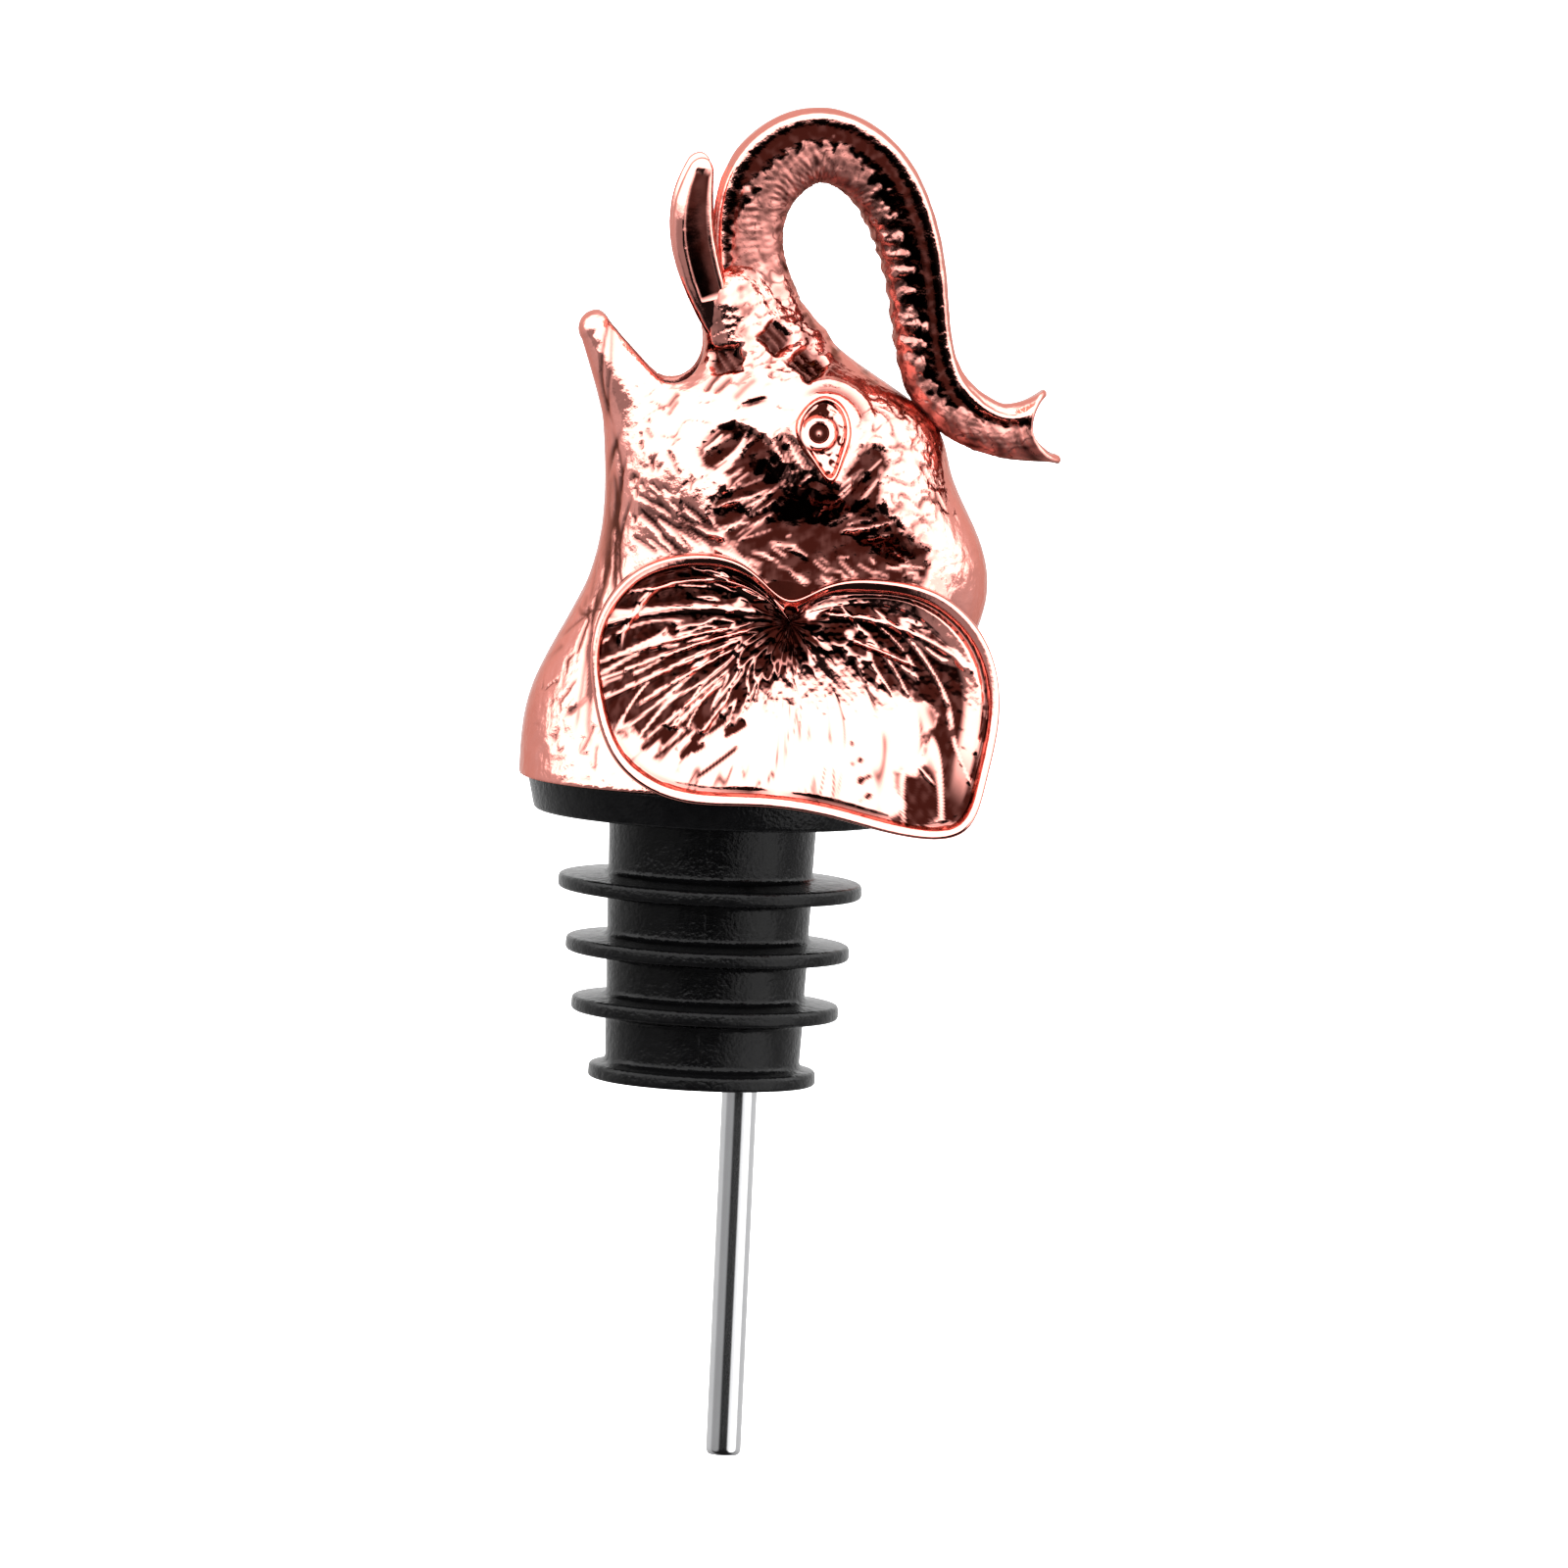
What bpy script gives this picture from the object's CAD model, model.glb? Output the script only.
"""Looks of a bottle pour spout with a cast elephant head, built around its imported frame.

Shapes are worked out in millimetres as arrays and turned into metres when they become meshes.  The head
looks up with its mouth towards -X and its forehead towards +X.  Side features are placed in "side view"
millimetres: SU runs towards the forehead and SV runs up, as seen square to the left cheek, and the right
cheek mirrors them.
"""
import math

import bmesh
import bpy
import numpy as np
from mathutils import Matrix, Vector


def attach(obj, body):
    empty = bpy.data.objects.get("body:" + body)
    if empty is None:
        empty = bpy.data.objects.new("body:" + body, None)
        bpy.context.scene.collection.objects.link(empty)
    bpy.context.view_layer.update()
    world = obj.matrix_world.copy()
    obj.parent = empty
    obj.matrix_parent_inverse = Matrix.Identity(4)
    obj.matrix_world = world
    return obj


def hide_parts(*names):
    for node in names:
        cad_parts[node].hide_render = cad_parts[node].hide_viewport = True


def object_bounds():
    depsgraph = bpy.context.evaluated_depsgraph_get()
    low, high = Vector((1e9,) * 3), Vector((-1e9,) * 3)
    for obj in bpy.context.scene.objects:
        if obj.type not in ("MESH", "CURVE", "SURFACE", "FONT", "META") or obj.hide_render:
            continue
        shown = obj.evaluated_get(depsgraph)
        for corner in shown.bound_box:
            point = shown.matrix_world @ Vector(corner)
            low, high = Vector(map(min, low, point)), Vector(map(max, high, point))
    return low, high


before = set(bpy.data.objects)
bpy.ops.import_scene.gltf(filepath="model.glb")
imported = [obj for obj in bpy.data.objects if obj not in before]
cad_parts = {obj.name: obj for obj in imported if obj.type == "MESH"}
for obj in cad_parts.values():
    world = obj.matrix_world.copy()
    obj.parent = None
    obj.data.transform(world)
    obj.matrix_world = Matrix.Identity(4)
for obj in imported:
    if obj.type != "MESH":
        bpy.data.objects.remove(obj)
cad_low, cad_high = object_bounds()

MM = 0.001
SPOUT = "spout"
BASE = "stopper_base"

# Viewing direction
VIEW_AZIMUTH = math.radians(-2.0)
VIEW_ELEVATION = math.radians(5.0)
VIEW_ROLL = math.radians(2.6)
VIEW_DISTANCE = 1.6
VIEW_WIDTH = 0.1333
VIEW_CENTRE = (0.0059, 0.0029)
SENSOR_WIDTH = 36.0
FLOOR_DROP = 0.045

# Skull ribs: height, mouth side x, forehead side x, half width in y
SKULL = np.array([
    (1.0, -16.6, 16.6, 16.6),
    (3.0, -16.66, 16.7, 16.4),
    (6.0, -16.62, 17.2, 15.2),
    (10.0, -16.0, 18.8, 14.2),
    (15.0, -13.8, 21.0, 13.4),
    (20.0, -11.4, 22.4, 12.9),
    (25.0, -9.9, 21.3, 12.3),
    (30.0, -9.3, 18.9, 11.2),
    (34.5, -7.6, 17.0, 9.3),
    (38.0, -3.4, 11.8, 6.6),
    (40.5, 0.5, 6.5, 2.6),
])
SKULL_FOOT = 3.0
SKIN_STEP = 0.205
SKULL_POWER = 2.3
# Jaw, throat and gum ribs: x, z, half thickness in the middle plane, half width in y
JAW = np.array([
    (-4.2, 22.0, 5.3, 7.6),
    (-5.6, 29.0, 4.4, 6.4),
    (-7.2, 34.4, 3.9, 5.4),
    (-9.7, 38.4, 2.7, 4.2),
    (-11.7, 41.0, 1.6, 2.7),
])
THROAT = np.array([
    (-0.6, 16.0, 5.6, 5.6),
    (-2.2, 23.0, 5.0, 5.6),
    (-3.9, 30.0, 4.1, 4.6),
    (-5.6, 37.0, 3.8, 4.0),
    (-7.6, 44.5, 3.9, 3.9),
])
GUM = np.array([
    (3.0, 33.0, 2.9, 2.6),
    (0.9, 39.0, 2.5, 2.3),
    (-0.7, 43.4, 2.2, 1.9),
])
# Trunk ribs, from the brow over the top and down to the tip: x, z, half thickness, half width in y, then the
# angles round from the back of the ridge, of the dark side's limit, and of the teeth along that limit
TRUNK = np.array([
    (6.4, 32.4, 7.0, 6.6, 45, 50, 0),
    (4.6, 36.0, 6.2, 5.8, 45, 50, 0),
    (2.8, 40.4, 4.7, 4.6, 45, 52, 0),
    (1.3, 45.3, 3.35, 3.6, 45, 60, 1),
    (0.7, 50.0, 3.0, 3.1, 45, 66, 2),
    (2.1, 54.7, 3.3, 3.1, 45, 86, 4),
    (6.3, 57.35, 3.2, 3.05, 45, 84, 3),
    (10.7, 55.7, 3.05, 3.0, 45, 96, 9),
    (13.6, 51.5, 2.85, 2.85, 45, 104, 20),
    (15.2, 46.2, 2.6, 2.65, 45, 104, 22),
    (16.0, 41.2, 2.45, 2.5, 45, 102, 20),
    (17.6, 37.0, 2.5, 2.5, 50, 98, 10),
    (20.6, 34.6, 2.35, 2.5, 58, 80, 3),
    (23.2, 33.8, 2.3, 2.5, 62, 78, 2),
    (24.9, 33.85, 2.65, 2.7, 62, 80, 2),
    (26.2, 34.1, 3.2, 2.9, 60, 84, 2),
])
# The root blended into the skull ends here, thinned by a share over the length before, and the trunk's own
# piece starts inside it
ROOT_END = 14.5
ROOT_FADE = 4.5
ROOT_SHRINK = 0.16
TRUNK_START = 10.5
# Rings that close the trunk's tip: size beside the rim's, and step ahead
NOSTRIL_RINGS = [
    (0.93, 0.18), (0.82, 0.16), (0.74, -0.05), (0.68, -0.5), (0.62, -1.2), (0.5, -2.0), (0.3, -2.4),
    (0.01, -2.5),
]
EYE_MARGIN = 0.55
GUM_Y = 3.9
# Tusk ribs: x, z, half thickness, half width, y
TUSK = np.array([
    (-1.4, 41.6, 1.2, 1.0, 4.3),
    (-2.8, 45.2, 1.75, 1.3, 4.5),
    (-3.9, 49.0, 1.85, 1.35, 4.6),
    (-4.0, 52.8, 1.55, 1.15, 4.5),
    (-3.3, 56.1, 0.8, 0.65, 4.3),
])

# Ear outline (x, z) from the root notch round the mouth side, the foot and the forehead side
EAR = np.array([
    (5.2, 19.9), (1.8, 22.2), (-3.0, 23.4), (-8.3, 21.6), (-11.1, 17.2), (-11.1, 11.4), (-8.8, 5.7),
    (-4.2, 2.9), (2.8, 2.5), (9.8, 1.8), (16.0, 0.7), (20.4, 1.5), (22.1, 5.6), (23.0, 11.6), (21.8, 17.0),
    (17.8, 20.9), (12.8, 21.9), (8.0, 21.1),
])
EAR_HUB = (5.2, 18.0)
EAR_ROOT = (4.6, -13.8, 18.4)
EAR_BACK_RADIUS = 42.0
EAR_THICKNESS = 1.7
EAR_RIM_RISE = 0.8
# Step from the ear's own x and z to the side view place of the skull behind it
EAR_BEHIND = (0.65, -1.6)

# Side view outlines: rim of the eyelids, dark hollow of the cheek, dark parts of the ear's two lobes
EYE = (7.5, 32.6)
EYE_RIM = np.array([
    (5.7, 33.0), (6.2, 31.6), (7.3, 30.1), (8.7, 28.7), (9.5, 30.4), (10.0, 32.4), (9.8, 34.0), (9.0, 35.2),
    (7.8, 35.6), (6.5, 34.8),
])
HOLLOW = np.array([
    (-1.9, 31.9), (0.7, 33.2), (2.4, 32.5), (3.6, 31.4), (4.6, 32.8), (5.8, 31.6), (7.1, 29.8), (8.8, 28.3),
    (10.3, 29.8), (11.6, 31.6), (13.1, 30.9), (13.0, 28.6), (13.9, 25.7), (17.4, 22.6), (17.2, 20.6),
    (14.5, 19.4), (10.5, 18.8), (6.0, 17.4), (3.6, 19.6), (0.6, 22.8), (-1.1, 26.0), (-0.2, 28.3),
    (-2.2, 29.4),
])
EAR_DARK_LEFT = np.array([
    (-5.2, 20.8), (-1.4, 21.6), (4.0, 19.8), (5.1, 18.4), (6.0, 12.8), (4.2, 11.0), (1.2, 8.8), (-4.8, 6.9),
    (-10.0, 8.1), (-10.6, 12.5), (-10.4, 16.0), (-8.8, 18.6),
])
EAR_DARK_RIGHT = np.array([
    (5.5, 18.4), (7.7, 16.9), (9.5, 18.1), (12.3, 18.5), (15.9, 17.2), (19.0, 14.5), (21.5, 11.4),
    (22.7, 6.7), (22.1, 3.9), (21.3, 1.1), (18.7, -0.1), (15.3, 0.3), (16.6, 1.7), (15.7, 3.4),
    (18.1, 4.6), (18.2, 7.0), (18.9, 9.2), (16.1, 10.7), (12.6, 12.2), (10.2, 13.5), (8.2, 15.5), (6.7, 12.8),
])


# ---------------------------------------------------------------- numbers and curves

def natural_spline(knots, values, at):
    """Natural cubic spline: second derivatives solve a tridiagonal system, then each span is a cubic."""
    values = np.asarray(values, float)
    if values.ndim == 1:
        values = values[:, None]
    count = len(knots)
    gap = np.diff(knots)
    system = np.zeros((count, count))
    right = np.zeros((count, values.shape[1]))
    system[0, 0] = system[-1, -1] = 1.0
    inner = np.arange(1, count - 1)
    system[inner, inner - 1] = gap[:-1]
    system[inner, inner] = 2 * (gap[:-1] + gap[1:])
    system[inner, inner + 1] = gap[1:]
    slope = np.diff(values, axis=0) / gap[:, None]
    right[1:-1] = 6 * (slope[1:] - slope[:-1])
    second = np.linalg.solve(system, right)
    span = np.clip(np.searchsorted(knots, at) - 1, 0, count - 2)
    width = gap[span][:, None]
    before = (knots[span + 1] - at)[:, None]
    after = (at - knots[span])[:, None]
    cubic = (second[span] * before ** 3 + second[span + 1] * after ** 3) / (6 * width)
    linear = (values[span] / width - second[span] * width / 6) * before
    linear += (values[span + 1] / width - second[span + 1] * width / 6) * after
    return cubic + linear


def ribbed_path(ribs, samples=400):
    """Path through ribs: a spline by chord length gives (x, z, reach, half width, ...) at even steps."""
    chord = np.concatenate([[0], np.cumsum(np.hypot(*np.diff(ribs[:, :2], axis=0).T))])
    values = natural_spline(chord, ribs, np.linspace(0, chord[-1], samples * 3))
    walked = np.concatenate([[0], np.cumsum(np.hypot(*np.diff(values[:, :2], axis=0).T))])
    even = np.linspace(0, walked[-1], samples)
    values = np.stack([np.interp(even, walked, column) for column in values.T], axis=1)
    heading = np.gradient(values[:, :2], axis=0)
    heading /= np.linalg.norm(heading, axis=1)[:, None]
    return {"s": even, "at": values[:, :2], "heading": heading, "sizes": values[:, 2:]}


def closed_outline(points, samples):
    """Closed smooth outline: the spline runs over the points wrapped round four times at each end."""
    wrapped = np.concatenate([points[-4:], points, points[:5]])
    chord = np.concatenate([[0], np.cumsum(np.hypot(*np.diff(wrapped, axis=0).T))])
    at = np.linspace(chord[4], chord[4 + len(points)], samples, endpoint=False)
    return natural_spline(chord, wrapped, at)


def smoothstep(low, high, value):
    """Rises from 0 at low to 1 at high with flat ends."""
    t = np.clip((value - low) / (high - low), 0, 1)
    return t * t * (3 - 2 * t)


def bell(value, width):
    """Gaussian bell of the given half width."""
    return np.exp(-(value / width) ** 2)


def inside_of(u, v, outline, reach=4.0):
    """Distance inside a closed outline, negative outside and cut off at reach: the nearest of its samples,
    with the sign from how often a ray towards +u crosses it."""
    ring = closed_outline(outline, 260)
    ahead = np.roll(ring, -1, axis=0)
    signed = np.full(u.shape, -reach)
    low, high = ring.min(axis=0) - reach, ring.max(axis=0) + reach
    near = np.flatnonzero((u > low[0]) & (u < high[0]) & (v > low[1]) & (v < high[1]))
    for part in np.array_split(near, max(1, near.size // 20000)):
        pu, pv = u.flat[part][:, None], v.flat[part][:, None]
        away = np.sqrt(((pu - ring[:, 0]) ** 2 + (pv - ring[:, 1]) ** 2).min(axis=1))
        spans = (ring[:, 1] > pv) != (ahead[:, 1] > pv)
        rise = np.where(spans, ahead[:, 1] - ring[:, 1], 1)
        crossing = ring[:, 0] + (ahead[:, 0] - ring[:, 0]) * (pv - ring[:, 1]) / rise
        inner = (spans & (pu < crossing)).sum(axis=1) % 2 == 1
        signed.flat[part] = np.clip(np.where(inner, away, -away), -reach, reach)
    return signed


def lumps(x, y, z, size, seed, layers=3):
    """Smooth pseudo noise of about -1 to 1: sums of sine waves in random directions and phases."""
    draw = np.random.default_rng(seed)
    total = 0.0
    for layer in range(layers):
        for _ in range(5):
            way = draw.normal(size=3)
            way *= 2 * math.pi / (size * 0.62 ** layer) / np.linalg.norm(way)
            total += np.sin(way[0] * x + way[1] * y + way[2] * z + draw.uniform(0, 6.28)) * 0.7 ** layer
    return total / 5


def flat_lumps(u, v, size, seed, layers=3):
    """The same noise over two coordinates."""
    return lumps(u, v, 0, size, seed, layers)


def turned_by(u, v, degrees):
    """Places along and across a direction, given by its angle from the first coordinate to the second."""
    c, s = math.cos(math.radians(degrees)), math.sin(math.radians(degrees))
    return u * c + v * s, v * c - u * s


# ---------------------------------------------------------------- distance fields of the head

def blend(a, b, radius):
    """Union of two distance fields with a fillet of about the radius."""
    near = np.maximum(radius - np.abs(a - b), 0) / radius
    return np.minimum(a, b) - near * near * radius / 4


def section(across, depth, reach, width, power):
    """Distance from an oval section: radial distance times one minus the inverse of the oval's level."""
    radial = np.hypot(across, depth) + 1e-6
    level = ((np.abs(across) / reach) ** power + (np.abs(depth) / width) ** power) ** (1 / power) + 1e-7
    return radial - radial / level


def along_path(path, x, z):
    """Each point's length along the path and its offset from it in the middle plane, past its ends too."""
    flat_x, flat_z = x.ravel(), z.ravel()
    nearest = np.empty(flat_x.size, int)
    for start in range(0, flat_x.size, 20000):
        part = slice(start, start + 20000)
        away = (flat_x[part, None] - path["at"][None, :, 0]) ** 2
        away += (flat_z[part, None] - path["at"][None, :, 1]) ** 2
        nearest[part] = away.argmin(axis=1)
    at, heading = path["at"][nearest], path["heading"][nearest]
    off_x, off_z = flat_x - at[:, 0], flat_z - at[:, 1]
    ahead = off_x * heading[:, 0] + off_z * heading[:, 1]
    side = off_x * heading[:, 1] - off_z * heading[:, 0]
    length = path["s"][nearest] + ahead
    clipped = np.clip(length, 0, path["s"][-1])
    return clipped.reshape(x.shape), np.hypot(side, length - clipped).reshape(x.shape)


def root_of(path):
    """The trunk's first stretch, up to the root's end, thinned towards that end."""
    keep = path["s"] <= ROOT_END
    root = {key: value[keep] for key, value in path.items()}
    thinning = ROOT_SHRINK * smoothstep(ROOT_END - ROOT_FADE, ROOT_END, root["s"])
    root["sizes"] = root["sizes"] * (1 - thinning)[:, None]
    return root


def sampled(path, lengths):
    """Centres, headings and sizes of a path at the given lengths; each size is a column."""
    def at(columns):
        return np.stack([np.interp(lengths, path["s"], column) for column in columns.T], axis=1)

    return at(path["at"]), at(path["heading"]), at(path["sizes"]).T[:, :, None]


SKULL_HEIGHTS = np.linspace(SKULL[0, 0], SKULL[-1, 0], 200)
SKULL_SIZES = natural_spline(SKULL[:, 0], SKULL[:, 1:], SKULL_HEIGHTS)
TRUNK_PATH = ribbed_path(TRUNK, 300)
TUBES = {
    "jaw": ribbed_path(JAW, 50),
    "root": root_of(TRUNK_PATH),
    "gum": ribbed_path(GUM, 30),
    "throat": ribbed_path(THROAT, 60),
}


def plan_of(x, z):
    """What the fields need of the middle plane: each tube's offset, reach and width, the skull's section."""
    plan = {}
    for name, path in TUBES.items():
        length, offset = along_path(path, x, z)
        plan[name] = (offset, *(np.interp(length, path["s"], column) for column in path["sizes"].T[:2]))
    low, high, width = (np.interp(z, SKULL_HEIGHTS, column) for column in SKULL_SIZES.T)
    plan["skull"] = (x - (low + high) / 2, np.maximum((high - low) / 2, 0.5), np.maximum(width, 0.5))
    plan["sole"] = SKULL_FOOT - z
    plan["crown"] = z - SKULL[-1, 0]
    return plan


def head_field(plan, y):
    """Distance from the casting without the trunk's length: skull, jaw, trunk root and gums blended together,
    with the throat taken out and the sole cut flat."""
    depth = np.abs(y)

    def tube(name, centre_y=0.0, power=2.2):
        offset, reach, width = plan[name]
        return section(offset, depth - centre_y, reach, width, power)

    across, reach, width = plan["skull"]
    body = np.maximum(section(across, depth, reach, width, SKULL_POWER), plan["crown"])
    body = blend(body, tube("jaw"), 3.0)
    body = blend(body, tube("root"), 2.6)
    body = blend(body, tube("gum", GUM_Y), 4.2)
    body = -blend(-body, tube("throat", power=2.0), 0.7)
    return np.maximum(body, plan["sole"])


def throat_field(points):
    """Distance from the throat's hollow."""
    path = TUBES["throat"]
    length, offset = along_path(path, points[:, 0], points[:, 2])
    reach, width = (np.interp(length, path["s"], column) for column in path["sizes"].T)
    return section(offset, points[:, 1], reach, width, 2.0)


def slope_of(points, step=0.02):
    """Value and gradient of the head's field at points, by central differences."""
    x, y, z = points.T
    plan = plan_of(x, z)
    change = [
        head_field(plan_of(x + step, z), y) - head_field(plan_of(x - step, z), y),
        head_field(plan, y + step) - head_field(plan, y - step),
        head_field(plan_of(x, z + step), y) - head_field(plan_of(x, z - step), y),
    ]
    return head_field(plan, y), np.stack(change, axis=1) / (2 * step)


def head_net(low, high, step):
    """Surface nets: each grid cell that the surface crosses gives one vertex, the mean of the crossings on
    its edges, and each crossed grid edge gives the quad of the four cells round it.  Vertices then move onto
    the field's zero along its gradient, which is also the normal that is given back."""
    axes = [np.arange(a, b + step, step) for a, b in zip(low, high)]
    x, z = np.meshgrid(axes[0], axes[2], indexing="ij")
    plan = plan_of(x, z)
    values = np.stack([head_field(plan, depth) for depth in axes[1]], axis=1)
    cells = tuple(n - 1 for n in values.shape)
    inside = values < 0

    def corner(array, i, j, k):
        return array[i:i + cells[0], j:j + cells[1], k:k + cells[2]]

    filled = sum(corner(inside, i, j, k).astype(np.int8) for i in (0, 1) for j in (0, 1) for k in (0, 1))
    active = (filled > 0) & (filled < 8)
    number = np.full(cells, -1)
    number[active] = np.arange(active.sum())
    where = np.argwhere(active)
    total = np.zeros((len(where), 3))
    count = np.zeros(len(where))
    for axis in range(3):
        others = [a for a in range(3) if a != axis]
        for first in (0, 1):
            for second in (0, 1):
                offset = np.zeros(3, int)
                offset[others[0]], offset[others[1]] = first, second
                end = offset.copy()
                end[axis] = 1
                a = values[tuple((where + offset).T)]
                b = values[tuple((where + end).T)]
                crossed = (a < 0) != (b < 0)
                part = np.where(crossed, a / np.where(crossed, a - b, 1), 0)
                place = where + offset + part[:, None] * (end - offset)
                total += place * crossed[:, None]
                count += crossed
    points = np.array([a[0] for a in axes]) + total / count[:, None] * step
    faces = []
    for axis in range(3):
        one, two = [a for a in range(3) if a != axis]
        size = list(values.shape)
        size[axis] -= 1
        span = [slice(1, size[a] - 1) if a != axis else slice(0, size[a]) for a in range(3)]
        start = inside[tuple(span)]
        ahead = list(span)
        ahead[axis] = slice(1, values.shape[axis])
        stop = inside[tuple(ahead)]
        place = np.argwhere(start != stop)
        sign = start[tuple(place.T)]
        place[:, one] += 1
        place[:, two] += 1
        corners = []
        for down_one, down_two in ((0, 0), (1, 0), (1, 1), (0, 1)):
            cell = place.copy()
            cell[:, one] -= down_one
            cell[:, two] -= down_two
            corners.append(number[tuple(cell.T)])
        quad = np.stack(corners, axis=1)
        turn = sign if axis != 1 else ~sign
        quad[turn] = quad[turn][:, ::-1]
        faces.append(quad[:, ::-1])
    for _ in range(2):
        value, slope = slope_of(points)
        points -= slope * (value / np.maximum((slope ** 2).sum(axis=1), 0.05))[:, None]
    return points, np.concatenate(faces), slope / np.linalg.norm(slope, axis=1)[:, None]


# ---------------------------------------------------------------- mesh pieces

def smooth_normals(points, faces):
    """Normal at each point: the sum of the cross products of the diagonals of the quads round it."""
    corner = points[faces]
    cross = np.cross(corner[:, 2] - corner[:, 0], corner[:, 3] - corner[:, 1])
    total = np.stack([np.bincount(faces.ravel(), np.repeat(way, 4), len(points)) for way in cross.T], axis=1)
    return total / np.maximum(np.linalg.norm(total, axis=1), 1e-12)[:, None]


def make_piece(name, points, faces, attributes=None, normals=None):
    """Mesh object at the origin from points in millimetres and an array of faces."""
    mesh = bpy.data.meshes.new(name)
    points = np.asarray(points, float)
    mesh.vertices.add(len(points))
    mesh.vertices.foreach_set("co", (points * MM).astype(np.float32).ravel())
    faces = np.asarray(faces)
    corners = faces.shape[1]
    mesh.loops.add(faces.size)
    mesh.loops.foreach_set("vertex_index", faces.ravel().astype(np.int32))
    mesh.polygons.add(len(faces))
    mesh.polygons.foreach_set("loop_start", np.arange(0, faces.size, corners, dtype=np.int32))
    mesh.polygons.foreach_set("loop_total", np.full(len(faces), corners, dtype=np.int32))
    mesh.update(calc_edges=True)
    mesh.validate()
    mesh.shade_smooth()
    if normals is not None:
        mesh.normals_split_custom_set_from_vertices(normals.tolist())
    for key, values in (attributes or {}).items():
        layer = mesh.attributes.new(key, "FLOAT", "POINT")
        layer.data.foreach_set("value", np.asarray(values, np.float32))
    piece = bpy.data.objects.new(name, mesh)
    bpy.context.scene.collection.objects.link(piece)
    return piece


def place(piece, body, slot, *nodes):
    """Rides the piece on its body, names its slot and the nodes that it stands for."""
    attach(piece, body)
    if nodes:
        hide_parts(*nodes)
    return piece


def grid_faces(rows, columns, closed_rows=False):
    """Quads of rows of points, each row a ring; closed rows also join the last one to the first."""
    row = np.arange(rows if closed_rows else rows - 1)[:, None]
    column = np.arange(columns)[None, :]
    next_row, next_column = (row + 1) % rows, (column + 1) % columns
    quads = [row * columns + column, row * columns + next_column, next_row * columns + next_column,
             next_row * columns + column]
    return np.stack([np.broadcast_to(q, (row.size, column.size)).ravel() for q in quads], axis=1)


def points_of(x, y, z):
    """List of points from grids of their coordinates."""
    return np.stack([x, y, z], axis=-1).reshape(-1, 3)


def hand(side):
    """Name of a side: -1 is the left cheek's."""
    return "left" if side < 0 else "right"


def facing(faces, side):
    """Faces of a grid made for the left side, turned over when the right side mirrors it."""
    return faces[:, ::-1] if side > 0 else faces


def turned(profile, segments=192, shape=None):
    """Solid turned about Z: each (radius, z) corner of the closed profile sweeps a ring.  A profile that runs
    anticlockwise, seen with the radius to the right, gives faces that point outwards."""
    angle = np.linspace(0, 2 * math.pi, segments, endpoint=False)
    radius = np.repeat(profile[:, 0][:, None], segments, axis=1)
    height = np.repeat(profile[:, 1][:, None], segments, axis=1)
    if shape is not None:
        radius = shape(radius, height, angle[None, :])
    points = np.stack([radius * np.cos(angle), radius * np.sin(angle), height], axis=-1)
    return points.reshape(-1, 3), grid_faces(len(profile), segments, closed_rows=True)


def rounded(corners, steps=5):
    """Closed outline whose corners (a, b, round) become curves of about the given radius, as far as their
    sides allow: each is a quadratic curve between the points where an arc would touch the sides."""
    corners = [np.array(c, float) for c in corners]
    outline = []
    for before, corner, after in zip(corners[-1:] + corners[:-1], corners, corners[1:] + corners[:1]):
        to_before, to_after = before[:2] - corner[:2], after[:2] - corner[:2]
        sides = np.linalg.norm(to_before), np.linalg.norm(to_after)
        to_before, to_after = to_before / sides[0], to_after / sides[1]
        half = math.acos(np.clip(to_before @ to_after, -1, 1)) / 2
        cut = min(corner[2] / math.tan(half), 0.49 * min(sides))
        if cut < 1e-4:
            outline.append(corner[:2])
            continue
        t = np.linspace(0, 1, steps + 1)[:, None]
        arc = (1 - t) ** 2 * (corner[:2] + to_before * cut) + 2 * t * (1 - t) * corner[:2]
        outline.extend(arc + t ** 2 * (corner[:2] + to_after * cut))
    return np.array(outline)


def softened_node(node, name, bevel, body, slot):
    """Copy of a machined node with its doubles merged, its flat faces joined and its edges broken."""
    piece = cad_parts[node].copy()
    piece.data = piece.data.copy()
    piece.name = name
    piece.parent = None
    bpy.context.scene.collection.objects.link(piece)
    mesh = bmesh.new()
    mesh.from_mesh(piece.data)
    bmesh.ops.remove_doubles(mesh, verts=mesh.verts, dist=1e-6)
    bmesh.ops.dissolve_limit(mesh, angle_limit=math.radians(1.0), verts=mesh.verts, edges=mesh.edges)
    mesh.to_mesh(piece.data)
    mesh.free()
    edge = piece.modifiers.new("edge", "BEVEL")
    edge.width = bevel * MM
    edge.segments = 3
    edge.limit_method = "ANGLE"
    edge.angle_limit = math.radians(40)
    edge.harden_normals = True
    piece.data.shade_smooth()
    return place(piece, body, slot, node)


# ---------------------------------------------------------------- relief

def side_view(x, y, z):
    """Side view place of points: depth shifts a point a little towards the forehead, and down."""
    depth = np.abs(y)
    su = x + depth * math.sin(-VIEW_AZIMUTH)
    sv = z * math.cos(VIEW_ELEVATION) - depth * math.sin(VIEW_ELEVATION)
    return su, sv


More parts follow.
